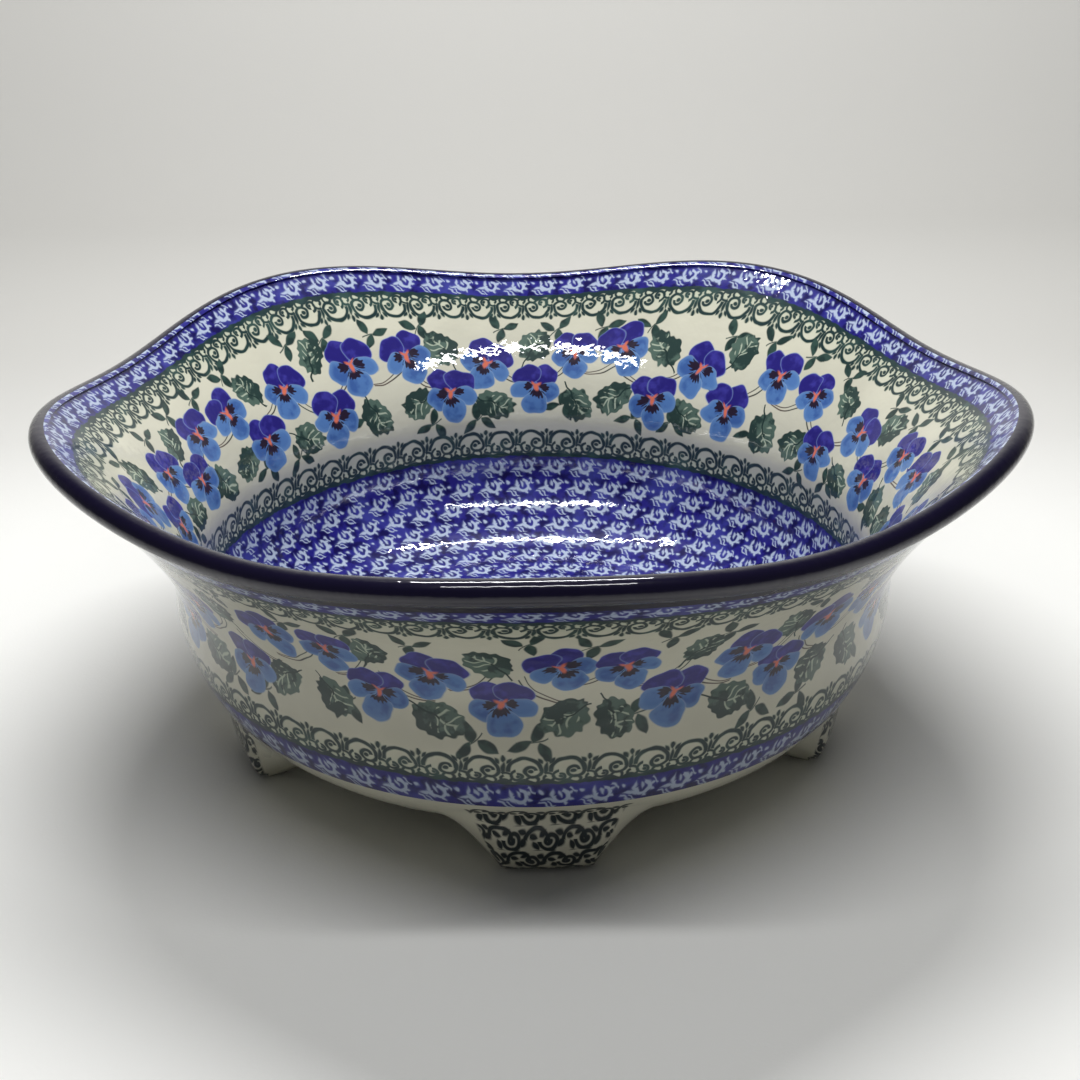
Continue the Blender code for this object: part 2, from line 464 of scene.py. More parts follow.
class Spot:
    """A place on the painted surface: x along, y up, and z that only varies the noise.

    Its sums are made of plain numbers and not of vectors, because Cycles then works a motif out
    shape by shape, and a long painting fits on its stack.
    """

    def __init__(self, graph: "Graph", x: Term | float, y: Term | float, z: Term | float = 0.0,
                 socket: bpy.types.NodeSocket | None = None) -> None:
        """Keeps the numbers, and the vector socket that they came from if there is one."""
        self.graph, self.x, self.y, self.z = graph, x, y, z
        self._socket = socket

    @classmethod
    def read(cls, graph: "Graph", socket: bpy.types.NodeSocket) -> "Spot":
        """The place that a vector socket holds."""
        node = graph.add("ShaderNodeSeparateXYZ")
        graph.join(socket, node.inputs[0])
        return cls(graph, *(Term(graph, out) for out in node.outputs), socket)

    @property
    def socket(self) -> bpy.types.NodeSocket:
        """The place as one vector."""
        if self._socket is None:
            node = self.graph.add("ShaderNodeCombineXYZ")
            for entry, value in zip(node.inputs, (self.x, self.y, self.z)):
                self.graph.feed(entry, value)
            self._socket = node.outputs[0]
        return self._socket

    def _sum(self, of_x: float, of_y: float, plus: float) -> Term:
        """So much of x and so much of y, and a number added."""
        rest = self.graph.math("MULTIPLY_ADD", self.y, of_y, plus) if of_y else plus
        return self.graph.math("MULTIPLY_ADD", self.x, of_x, rest) if of_x else rest

    def placed(self, x: float, y: float, wide: float, tall: float, tilt: float = 0.0) -> "Spot":
        """The same place measured from a motif's own centre, sizes and tilt.

        Args:
            x: Centre of the motif.
            y: Centre of the motif.
            wide: Half width of the motif.
            tall: Half height of the motif.
            tilt: Turn of the motif, in degrees.

        Returns:
            The place in the motif, where its edge is 1 from its centre.
        """
        cos, sin = math.cos(math.radians(tilt)), math.sin(math.radians(tilt))
        across = self._sum(cos / wide, sin / wide, -(x * cos + y * sin) / wide)
        up = self._sum(-sin / tall, cos / tall, (x * sin - y * cos) / tall)
        return Spot(self.graph, across, up, self.z)

    def reach(self) -> Term:
        """Distance from the centre."""
        square = self.graph.math("MULTIPLY_ADD", self.x, self.x, self.y * self.y)
        return self.graph.math("SQRT", square)

    def bearing(self) -> Term:
        """Direction from the centre, from minus pi to pi."""
        return self.graph.math("ARCTAN2", self.y, self.x)

    def ellipse(self, x: float, y: float, wide: float, tall: float, tilt: float = 0.0) -> Term:
        """Distance outside an ellipse, about right near its edge."""
        return (self.placed(x, y, wide, tall, tilt).reach() - 1.0) * min(wide, tall)

    def blade(self, x: float, y: float, long: float, wide: float, tilt: float) -> Term:
        """Distance outside a pointed leaf blade."""
        local = self.placed(x, y, long, wide, tilt)
        return (abs(local.y) + local.x * local.x - 1.0) * (wide * 0.7)

    def curl(self, x: float, y: float, radius: float, spacing: float, line: float,
             turns: tuple[int, int] = (-1, 0), tilt: float = 0.0, mirror: bool = False) -> Term:
        """Distance outside a line that winds inward in a spiral.

        Args:
            x: Centre of the spiral.
            y: Centre of the spiral.
            radius: Radius halfway round its outer turn.
            spacing: Room between two turns.
            line: Half width of the line.
            turns: First and last turn, counted from the outer one.
            tilt: Turn of the spiral, in degrees.
            mirror: Whether it winds the other way.

        Returns:
            The distance.
        """
        local = self.placed(x, y, -1.0 if mirror else 1.0, 1.0, tilt)
        out = local.reach()
        grown = local.bearing() * (spacing / (2 * math.pi)) + radius
        turn = ((out - grown) / spacing).whole().most(turns[0]).least(turns[1])
        return abs(out - grown - turn * spacing) - line

    def shaken(self, scale: float, amount: float) -> "Spot":
        """The same place moved a little by noise, as a hand moves a brush."""
        noise = self.graph.noise(self.socket, scale, 0.0)
        push = Spot.read(self.graph, noise.outputs["Color"])
        x, y = (
            self.graph.math("MULTIPLY_ADD", shift, amount, own - amount / 2)
            for shift, own in ((push.x, self.x), (push.y, self.y))
        )
        return Spot(self.graph, x, y, self.z)


class Graph:
    """A node tree under construction."""

    def __init__(self, tree: bpy.types.NodeTree) -> None:
        """Wraps a node tree, which has a source and a sink only when it is a group."""
        self.tree = tree
        self.source: bpy.types.Node | None = None
        self.sink: bpy.types.Node | None = None

    @classmethod
    def group(cls, name: str, kind: str, takes: dict[str, str], gives: dict[str, str]) -> "Graph":
        """A new node group with named inputs and outputs.

        Args:
            name: Name of the group.
            kind: Tree type.
            takes: Socket type of each input, by name.
            gives: Socket type of each output, by name.

        Returns:
            The graph, with its group input and output nodes as source and sink.
        """
        tree = bpy.data.node_groups.new(name, kind)
        for title, socket in takes.items():
            tree.interface.new_socket(title, in_out="INPUT", socket_type=socket)
        for title, socket in gives.items():
            tree.interface.new_socket(title, in_out="OUTPUT", socket_type=socket)
        graph = cls(tree)
        graph.source = tree.nodes.new("NodeGroupInput")
        graph.sink = tree.nodes.new("NodeGroupOutput")
        return graph

    def add(self, kind: str) -> bpy.types.Node:
        """A new node."""
        return self.tree.nodes.new(kind)

    def join(self, out: bpy.types.NodeSocket, into: bpy.types.NodeSocket) -> None:
        """Links two sockets."""
        self.tree.links.new(out, into)

    def feed(self, socket: bpy.types.NodeSocket, value: object) -> None:
        """Gives a socket a term, a spot, another socket or a plain value."""
        if isinstance(value, (Term, Spot)):
            self.join(value.socket, socket)
        elif isinstance(value, bpy.types.NodeSocket):
            self.join(value, socket)
        else:
            socket.default_value = value

    def math(self, operation: str, *values: "Term | float") -> Term:
        """A Math node on terms and plain numbers."""
        node = self.add("ShaderNodeMath")
        node.operation = operation
        for socket, value in zip(node.inputs, values):
            self.feed(socket, value)
        return Term(self, node.outputs[0])

    def ramp(self, term: Term, low: float, high: float, first: float, last: float) -> Term:
        """A smooth step from first to last while the term goes from low to high."""
        node = self.add("ShaderNodeMapRange")
        node.interpolation_type = "SMOOTHSTEP"
        for socket, value in zip(node.inputs, (term, low, high, first, last)):
            self.feed(socket, value)
        return Term(self, node.outputs[0])

    def spot(self, x: Term | float, y: Term | float, z: Term | float = 0.0) -> Spot:
        """A place made from numbers."""
        return Spot(self, x, y, z)

    def noise(self, where: object, scale: float, detail: float) -> bpy.types.Node:
        """A noise texture."""
        node = self.add("ShaderNodeTexNoise")
        node.inputs["Scale"].default_value = scale
        node.inputs["Detail"].default_value = detail
        self.feed(node.inputs["Vector"], where)
        return node

    def mix(self, share: Term | float, under: object, over: object) -> bpy.types.NodeSocket:
        """Two colours mixed by a share of the second."""
        node = self.add("ShaderNodeMix")
        node.data_type = "RGBA"
        self.feed(node.inputs["Factor"], share)
        self.feed(node.inputs[6], under)
        self.feed(node.inputs[7], over)
        return node.outputs[2]

    def placed_group(self, tree: bpy.types.NodeTree, **values: object) -> bpy.types.Node:
        """A group node with its inputs fed by name."""
        node = self.add("ShaderNodeGroup")
        node.node_tree = tree
        for title, value in values.items():
            self.feed(node.inputs[title], value)
        return node


# ---------------------------------------------------------------------------- painting


@dataclass(frozen=True)
class Paints:
    """Colours of the underglaze paints and of the clay under its clear glaze."""

    cream: tuple = paint(208, 206, 187)
    cream_shade: tuple = paint(197, 195, 177)
    navy: tuple = paint(12, 7, 36)
    cobalt_dark: tuple = paint(13, 8, 76)
    cobalt: tuple = paint(33, 29, 120)
    cobalt_light: tuple = paint(68, 74, 160)
    stamp: tuple = paint(176, 189, 211)
    scroll: tuple = paint(28, 50, 52)
    scroll_light: tuple = paint(50, 76, 72)
    wash: tuple = paint(168, 184, 158)
    indigo: tuple = paint(38, 32, 116)
    indigo_light: tuple = paint(58, 54, 146)
    petal: tuple = paint(80, 119, 176)
    petal_light: tuple = paint(102, 141, 190)
    petal_deep: tuple = paint(60, 94, 156)
    petal_edge: tuple = paint(142, 169, 203)
    blotch: tuple = paint(38, 28, 48)
    salmon: tuple = paint(214, 112, 86)
    leaf: tuple = paint(82, 104, 94)
    leaf_dark: tuple = paint(42, 62, 59)
    vein: tuple = paint(172, 184, 164)
    sprig: tuple = paint(50, 74, 68)
    sprig_dark: tuple = paint(34, 54, 52)
    stem: tuple = paint(80, 62, 58)
    foot: tuple = paint(26, 38, 42)


@dataclass(frozen=True)
class Petal:
    """One petal of a viola, in units of its half size."""

    x: float
    y: float
    wide: float
    tall: float
    tilt: float
    upper: bool


PETALS = (
    Petal(-0.30, 0.50, 0.46, 0.44, 25.0, True),
    Petal(0.40, 0.42, 0.54, 0.42, -28.0, True),
    Petal(-0.50, -0.10, 0.36, 0.40, 20.0, False),
    Petal(0.50, -0.12, 0.42, 0.33, -32.0, False),
    Petal(-0.01, -0.60, 0.46, 0.43, 0.0, False),
)
MOTIF_TAKES = {"Place": "NodeSocketVector"}
MOTIF_GIVES = {"Color": "NodeSocketColor", "Mask": "NodeSocketFloat"}


class MotifPainter:
    """Builds one shader node group for each painted motif."""

    SCROLL_BUDS = (
        (0.0, 0.90, 0.13, 0.075, 90.0),
        (-0.14, 0.82, 0.12, 0.07, 125.0),
        (0.14, 0.82, 0.12, 0.07, 55.0),
        (0.0, 0.58, 0.26, 0.07, 84.0),
    )
    STAMP_ROW = 0.68
    STAMP_PRONGS = (
        (0.085, 0.095, 0.10, 0.036, -70.0),
        (-0.10, 0.09, 0.14, 0.042, 86.0),
        (-0.20, -0.07, 0.16, 0.046, 6.0),
        (-0.08, -0.10, 0.13, 0.042, -48.0),
    )
    STAMP_STROKES = ((-0.28, -0.24, 0.17), (-0.13, -0.25, 0.13), (0.40, 0.20, 0.12))
    FOOT_ROW = 0.64
    FOOT_BUDS = (
        (-0.34, 0.17, 0.15, 0.095, 65.0),
        (-0.42, -0.08, 0.13, 0.085, 10.0),
        (0.34, 0.09, 0.15, 0.095, -55.0),
        (0.30, -0.16, 0.13, 0.090, 20.0),
        (-0.15, -0.17, 0.14, 0.085, -35.0),
        (0.08, 0.27, 0.14, 0.070, 10.0),
    )

    def __init__(self, paints: Paints) -> None:
        """Keeps the paints to draw with."""
        self.paints = paints

    @staticmethod
    def _start(name: str) -> tuple[Graph, Spot]:
        """A group for a motif, and the place that it reads."""
        graph = Graph.group(name, "ShaderNodeTree", MOTIF_TAKES, MOTIF_GIVES)
        return graph, Spot.read(graph, graph.source.outputs["Place"])

    @staticmethod
    def _end(graph: Graph, colour: object, mask: Term) -> bpy.types.NodeTree:
        """Joins the group's outputs and returns its tree."""
        graph.feed(graph.sink.inputs["Color"], colour)
        graph.feed(graph.sink.inputs["Mask"], mask)
        return graph.tree

    def viola(self) -> bpy.types.NodeTree:
        """Five petals from back to front, three dark blotches and a salmon eye."""
        p = self.paints
        g, place = self._start("painted_viola")
        tone = Term(g, g.noise(place, 2.6, 2.0).outputs["Fac"])
        spot = place.shaken(2.2, 0.20)
        x = spot.x
        violet = g.mix(tone.rises(0.45, 0.70), p.indigo, p.indigo_light)
        blue = g.mix((tone + x * 0.22).rises(0.34, 0.60), p.petal_deep, p.petal)
        heart = spot.ellipse(0.0, 0.0, 0.42, 0.34)
        colour, mask = blue, heart.drawn(0.03)
        for petal in PETALS:
            out = spot.ellipse(petal.x, petal.y, petal.wide, petal.tall, petal.tilt)
            if petal.upper:
                body = g.mix(out.rises(-0.08, 0.0), violet, p.indigo_light)
            else:
                body = g.mix(out.rises(-0.16, -0.02) * 0.6, blue, p.petal_light)
            edge = g.mix(out.rises(-0.030, 0.015), body, p.petal_edge)
            drawn = out.drawn(0.025)
            colour = g.mix(drawn, colour, edge)
            mask = mask.most(drawn)
        rough = spot.shaken(9.0, 0.12)
        fringe = (spot.bearing() * 21.0).sine() * 0.028
        dark = rough.ellipse(-0.29, 0.05, 0.20, 0.17, -10.0)
        dark = dark.least(rough.ellipse(0.28, 0.04, 0.18, 0.16, 10.0))
        dark = dark.least(rough.ellipse(-0.02, -0.27, 0.25, 0.14))
        colour = g.mix((dark + fringe).drawn(0.025), colour, p.blotch)
        eye = spot.ellipse(0.0, -0.03, 0.075, 0.15)
        eye = eye.least(spot.ellipse(-0.08, 0.11, 0.04, 0.12, 42.0))
        eye = eye.least(spot.ellipse(0.08, 0.11, 0.04, 0.12, -42.0))
        colour = g.mix(eye.drawn(0.03), colour, p.salmon)
        return self._end(g, colour, mask)

    def leaf(self) -> bpy.types.NodeTree:
        """A toothed leaf with its tip up, pale veins and a dark stem."""
        p = self.paints
        g, place = self._start("painted_leaf")
        tone = Term(g, g.noise(place, 2.4, 3.0).outputs["Fac"])
        spot = place.shaken(1.7, 0.42)
        x, y = spot.x, spot.y
        body = spot.placed(0.0, 0.0, 0.76, 0.98)
        teeth = (body.bearing() * 13.0).sine() * 0.05
        out = (body.reach() - 0.95 + teeth) * 0.76
        colour = g.mix((tone + x * 0.30).rises(0.38, 0.58), p.leaf, p.leaf_dark)
        rib = abs(x + y * y * 0.14) - 0.040
        steps = abs(((y - abs(x) * 0.9) * 2.5).fold() - 0.5) * 0.40 - 0.045
        side = steps.most(abs(x) - 0.46)
        vein = rib.least(side).most(y - 0.66).most(-0.30 - y)
        shown = vein.drawn(0.03) * (1.0 - (tone + x * 0.22).rises(0.50, 0.60))
        colour = g.mix(shown, colour, p.vein)
        stem = (abs(x - y * 0.10) - 0.045).most(y + 0.05).most(-1.35 - y)
        colour = g.mix(stem.drawn(0.02), colour, p.sprig_dark)
        return self._end(g, colour, out.drawn(0.03).most(stem.drawn(0.02)))

    def sprig(self) -> bpy.types.NodeTree:
        """Three pointed blades on a short stem."""
        p = self.paints
        g, place = self._start("painted_sprig")
        tone = Term(g, g.noise(place, 2.0, 1.0).outputs["Fac"])
        spot = place.shaken(2.0, 0.14)
        out = spot.blade(-0.42, 0.40, 0.46, 0.22, 128.0)
        out = out.least(spot.blade(0.46, 0.34, 0.48, 0.20, 38.0))
        out = out.least(spot.blade(0.02, -0.30, 0.44, 0.22, 84.0))
        stem = spot.placed(0.1, 0.08, 0.62, 0.5, 24.0)
        x, y = stem.x, stem.y
        line = ((abs(y + x * x * 0.3 - 0.1) - 0.06) * 0.5).most(abs(x) - 0.9)
        colour = g.mix(tone.rises(0.4, 0.6), p.sprig, p.sprig_dark)
        return self._end(g, colour, out.least(line).drawn(0.03))

    def stem(self) -> bpy.types.NodeTree:
        """Two thin curved stems, one beside the other."""
        p = self.paints
        g, place = self._start("painted_stem")
        spot = place.shaken(1.6, 0.12)
        x, y = spot.x, spot.y
        bend = y - x * x * 0.34 + 0.15
        line = (abs(bend) - 0.028).least(abs(bend - 0.16 - x * 0.10) - 0.022)
        out = line.most(abs(x) - 0.95)
        colour = g.mix(x.rises(-0.6, 0.6), p.stem, p.sprig_dark)
        return self._end(g, colour, out.drawn(0.02))

    def scroll(self) -> bpy.types.NodeTree:
        """A row of fern curls with small buds, dense green along the cobalt side."""
        p = self.paints
        g, place = self._start("painted_scroll")
        spot = place.shaken(4.0, 0.07)
        x, y = spot.x, spot.y
        here = g.spot(x.fold() - 0.5, y)
        between = g.spot((x + 0.5).fold() - 0.5, y)
        line = 0.064
        out = (abs(here.placed(0.0, 0.50, 1.0, 1.0).reach() - 0.40) - line).most(0.46 - y)
        out = out.least(here.curl(0.17, 0.50, 0.165, 0.15, line * 0.9, (0, 0), 180.0))
        out = out.least(here.ellipse(0.13, 0.49, 0.085, 0.075))
        out = out.least(here.curl(-0.17, 0.32, 0.13, 0.12, line * 0.85, (0, 0), 100.0, True))
        out = out.least(here.ellipse(-0.15, 0.30, 0.065, 0.065))
        out = out.least(here.curl(0.20, 0.17, 0.12, 0.10, line * 0.8, (0, 0), 30.0))
        for bud in self.SCROLL_BUDS:
            out = out.least(between.blade(*bud))
        out = out.least(between.curl(0.04, 0.26, 0.13, 0.10, line * 0.8, (0, 0), -60.0))
        dense = y - 0.19 - (x * (4 * math.pi)).cosine() * 0.05
        tone = Term(g, g.noise(place, 1.3, 2.0).outputs["Fac"])
        line_colour = g.mix(tone.rises(0.45, 0.75), p.scroll, p.scroll_light)
        drawn = out.least(dense).drawn(0.03)
        wash = (1.0 - y.rises(0.15, 0.95)) * 0.45
        colour = g.mix(drawn, p.wash, line_colour)
        return self._end(g, colour, drawn.most(wash))

    def stamp(self) -> bpy.types.NodeTree:
        """A pale hooked curl with spikes, a bud and a forked prong."""
        p = self.paints
        g, place = self._start("painted_stamp")
        x, y = place.x, place.y
        cell = g.spot(x.fold() - 0.5, (y.fold() - 0.5) * self.STAMP_ROW, (x - 0.5).whole() * 1.7)
        rough = cell.shaken(6.0, 0.10)
        hook = rough.placed(0.11, 0.02, 1.0, 1.0, -52.0)
        gap = (abs(hook.bearing()) - 2.35) * 0.17
        shape = (abs(hook.reach() - 0.175) - 0.047).most(gap)
        for tilt in (24.0, -20.0, -64.0):
            turn = math.radians(tilt)
            tip = (0.11 + 0.245 * math.cos(turn), 0.02 + 0.245 * math.sin(turn))
            shape = shape.least(rough.blade(*tip, 0.075, 0.042, tilt))
        for prong in self.STAMP_PRONGS:
            shape = shape.least(rough.blade(*prong))
        shape = shape.least(rough.ellipse(-0.39, 0.15, 0.060, 0.042, -30.0))
        for left, low, long in self.STAMP_STROKES:
            stroke = rough.placed(left, low, 1.0, 1.0, -38.0)
            wavy = abs(stroke.y + (stroke.x * 21.0).sine() * 0.022) - 0.019
            shape = shape.least(wavy.most(abs(stroke.x) - long))
        shape = shape - 0.010
        drawn = shape.drawn(0.03)
        watery = (1.0 - shape.rises(0.0, 0.07)) * 0.30
        return self._end(g, g.mix(drawn, p.cobalt_light, p.stamp), drawn.most(watery))

    def foot_curls(self) -> bpy.types.NodeTree:
        """Rows of dark curls on leaning stems, crowded with buds, over the face of a foot."""
        p = self.paints
        g, place = self._start("painted_foot_curls")
        spot = place.shaken(1.6, 0.16)
        x, y = spot.x, spot.y
        row = y - y.fold()
        cell = g.spot((x + row * 0.5).fold() - 0.5, (y.fold() - 0.5) * self.FOOT_ROW)
        line = 0.062
        out = cell.curl(0.04, 0.03, 0.20, 0.17, line)
        out = out.least(cell.ellipse(0.05, 0.03, 0.085, 0.075))
        for side, low in ((-0.30, 0.02), (0.70, 0.02), (-0.30, 0.02 + self.FOOT_ROW)):
            sweep = cell.placed(side, low, 1.0, 1.0)
            out = out.least((abs(sweep.reach() - 0.30) - line).most(sweep.y - 0.02))
        for bud in self.FOOT_BUDS:
            out = out.least(cell.blade(*bud))
        return self._end(g, p.foot, out.drawn(0.03))


class StonewareGlaze:
    """The bowl's one finish: cream clay, underglaze painting and a clear gloss glaze."""

    LAYERS = ("stem_a", "stem_b", "sprig_a", "sprig_b", "leaf_a", "leaf_b", "viola_a", "viola_b")
    FOOT_CELL = 9.6 * MM
    ROUGHNESS = 0.30
    ROUGHNESS_SPREAD = 0.12
    SPECULAR = 0.08               # the clay itself barely shines, its glaze does
    COAT = 1.0
    COAT_ROUGHNESS = 0.012
    COAT_IOR = 1.5
    RIPPLE_STRENGTH = 0.35
    RIPPLE_DEPTH = 0.25 * MM

    def __init__(self, paints: Paints) -> None:
        """Keeps the paints and builds the motifs."""
        self.paints = paints
        self.painter = MotifPainter(paints)

    @staticmethod
    def _place(graph: Graph, name: str) -> Spot:
        """A corner attribute that gives a motif its place on the clay."""
        node = graph.add("ShaderNodeAttribute")
        node.attribute_type = "GEOMETRY"
        node.attribute_name = name
        return Spot.read(graph, node.outputs["Vector"])

    def _cobalt(self, graph: Graph, where: bpy.types.NodeSocket) -> bpy.types.NodeSocket:
        """Cobalt that was sponged on, darker in blots and thin in patches."""
        p = self.paints
        blots = Term(graph, graph.noise(where, 260.0, 4.0).outputs["Fac"])
        patches = Term(graph, graph.noise(where, 70.0, 2.0).outputs["Fac"])
        colour = graph.mix(blots.rises(0.40, 0.58), p.cobalt_dark, p.cobalt)
        return graph.mix(patches.rises(0.48, 0.74) * 0.65, colour, p.cobalt_light)

    def build(self) -> bpy.types.Material:
        """The finished material.

        Returns:
            The material, with every painted layer in it.
        """
        p = self.paints
        material = bpy.data.materials.new("glazed_stoneware")
        material.use_nodes = True
        g = Graph(material.node_tree)
        coords = g.add("ShaderNodeTexCoord").outputs["Object"]
        band = self._place(g, "band")
        x, y, kind = band.x, band.y, band.z

        def is_band(which: Band) -> Term:
            """1 on the strips of one band."""
            return g.math("COMPARE", kind, float(which), 0.4)

        clouds = Term(g, g.noise(coords, 34.0, 3.0).outputs["Fac"])
        clay = g.mix(clouds.rises(0.35, 0.75), p.cream, p.cream_shade)
        cobalt = self._cobalt(g, coords)

        scroll = g.placed_group(self.painter.scroll(), Place=band)
        on_scroll = is_band(Band.SCROLL)
        colour = g.mix(Term(g, scroll.outputs["Mask"]) * on_scroll, clay, scroll.outputs["Color"])
        bleed = Term(g, g.noise(coords, 330.0, 1.0).outputs["Fac"])
        strayed = (1.0 - (y + bleed * 0.16).rises(0.08, 0.13)) * on_scroll
        colour = g.mix(strayed, colour, cobalt)

        stamp = g.placed_group(self.painter.stamp(), Place=band)
        stamped = g.mix(Term(g, stamp.outputs["Mask"]) * 0.94, cobalt, stamp.outputs["Color"])
        colour = g.mix(is_band(Band.STAMP), colour, stamped)

        curls = g.placed_group(self.painter.foot_curls(), Place=g.spot(x, y * 4.0))
        limit = abs(x) * (self.FOOT_CELL / MM) - (21.5 - y * 8.6)
        on_foot = is_band(Band.FOOT) * limit.drawn(0.6)
        colour = g.mix(Term(g, curls.outputs["Mask"]) * on_foot, colour, curls.outputs["Color"])
        colour = g.mix(is_band(Band.NAVY), colour, p.navy)

        draw = self.painter
        motifs = {
            "stem": draw.stem(), "sprig": draw.sprig(), "leaf": draw.leaf(), "viola": draw.viola(),
        }
        for layer in self.LAYERS:
            drawn = g.placed_group(motifs[layer.split("_")[0]], Place=self._place(g, layer))
            colour = g.mix(Term(g, drawn.outputs["Mask"]), colour, drawn.outputs["Color"])

        shader = material.node_tree.nodes["Principled BSDF"]
        g.feed(shader.inputs["Base Color"], colour)
        g.feed(shader.inputs["Roughness"], clouds * self.ROUGHNESS_SPREAD + (self.ROUGHNESS - 0.06))
        shader.inputs["Metallic"].default_value = 0.0
        shader.inputs["Specular IOR Level"].default_value = self.SPECULAR
        shader.inputs["Coat Weight"].default_value = self.COAT
        shader.inputs["Coat Roughness"].default_value = self.COAT_ROUGHNESS
        shader.inputs["Coat IOR"].default_value = self.COAT_IOR
        ripple = Term(g, g.noise(coords, 95.0, 2.0).outputs["Fac"])
        peel = Term(g, g.noise(coords, 380.0, 1.0).outputs["Fac"])
        bump = g.add("ShaderNodeBump")
        bump.inputs["Strength"].default_value = self.RIPPLE_STRENGTH
        bump.inputs["Distance"].default_value = self.RIPPLE_DEPTH
        g.feed(bump.inputs["Height"], ripple + peel * 0.95)
        g.feed(shader.inputs["Normal"], bump.outputs["Normal"])
        g.feed(shader.inputs["Coat Normal"], bump.outputs["Normal"])
        return material


# ---------------------------------------------------------------------------- garland


@dataclass(frozen=True)
class Motif:
    """One painted motif on the clay.

    Attributes:
        layer: The attribute that carries its place.
        side: Face of the wall.
        turn: Direction from the bowl's axis, in radians.
        arc: Place across the band, in metres of the section.
        size: Half size, in metres.
        tilt: Turn of the motif, in radians.
        mirror: Whether it is painted the other way round.
        seed: Its own variation, from 0 to 1.
    """

    layer: str
    side: Side
    turn: float
    arc: float
    size: float
    tilt: float
    mirror: bool
    seed: float


@dataclass(frozen=True)
class Stroke:
    """A motif's place in a posy: millimetres along, share of the band from below, and tilt."""

    kind: str
    along: float
    share: float
    tilt: float
    mirror: bool = False


POSY_LENGTH = 80.0
POSY = (
    Stroke("viola", 5.0, 0.66, 10.0),
    Stroke("viola", 19.0, 0.33, -8.0, True),
    Stroke("viola", 35.0, 0.60, -14.0),
    Stroke("viola", 51.0, 0.31, 6.0),
    Stroke("viola", 66.0, 0.68, 16.0, True),
    Stroke("leaf", 20.0, 0.77, -20.0),
    Stroke("leaf", 36.0, 0.19, -115.0),
    Stroke("leaf", 51.0, 0.75, 35.0),
    Stroke("leaf", 66.0, 0.25, 130.0),
    Stroke("leaf", 3.0, 0.24, -150.0),
    Stroke("sprig", 12.0, 0.90, 8.0),
    Stroke("sprig", 7.0, 0.22, 165.0),
    Stroke("sprig", 29.0, 0.90, -15.0),
    Stroke("sprig", 42.0, 0.12, 190.0),
    Stroke("sprig", 57.0, 0.92, 20.0),
    Stroke("sprig", 59.0, 0.11, 170.0),
    Stroke("sprig", 75.0, 0.90, -12.0),
    Stroke("stem", 12.0, 0.52, 38.0),
    Stroke("stem", 27.0, 0.42, -30.0, True),
    Stroke("stem", 44.0, 0.50, 32.0),
    Stroke("stem", 60.0, 0.46, -34.0, True),
    Stroke("stem", 74.0, 0.52, 20.0),
)
HALF_SIZE = {"viola": 10.4, "leaf": 7.4, "sprig": 7.4, "stem": 8.5}


class Garland:
    """The posies of violas that go round both faces of the wall."""

    JITTER_ALONG = 2.2
    JITTER_SHARE = 0.035
    JITTER_TILT = 9.0

    def __init__(self, profile: Profile, seed: int) -> None:
        """Keeps the section and seeds the hand's small differences."""
        self.profile = profile
        self.hand = random.Random(seed)

    def _radius(self, side: Side, arc: float) -> float:
        """Plain radius of the clay at an arc."""
        rows = [(ring.arc, ring.plain[0]) for ring in self.profile.rings if ring.side is side]
        return float(np.interp(arc, *np.array(sorted(rows)).T))

    def motifs(self) -> list[Motif]:
        """Every motif, in the order in which it is painted."""
        found: list[Motif] = []
        for side in Side:
            low, high = self.profile.floral[side]
            middle = self._radius(side, (low + high) / 2)
            count = round(2 * math.pi * middle / (POSY_LENGTH * MM))
            length = 2 * math.pi / count
            painted = dict.fromkeys(HALF_SIZE, 0)
            for posy in range(count):
                for stroke in POSY:
                    along = stroke.along + self.hand.uniform(-1, 1) * self.JITTER_ALONG
                    share = stroke.share + self.hand.uniform(-1, 1) * self.JITTER_SHARE
                    tilt = stroke.tilt + self.hand.uniform(-1, 1) * self.JITTER_TILT
                    found.append(Motif(
                        f"{stroke.kind}_{'ab'[painted[stroke.kind] % 2]}",
                        side,
                        length * (posy + along / POSY_LENGTH),
                        low + (high - low) * share,
                        HALF_SIZE[stroke.kind] * MM * self.hand.uniform(0.94, 1.06),
                        math.radians(tilt),
                        stroke.mirror,
                        self.hand.random(),
                    ))
                    painted[stroke.kind] += 1
        return found


# ---------------------------------------------------------------------------- the bowl


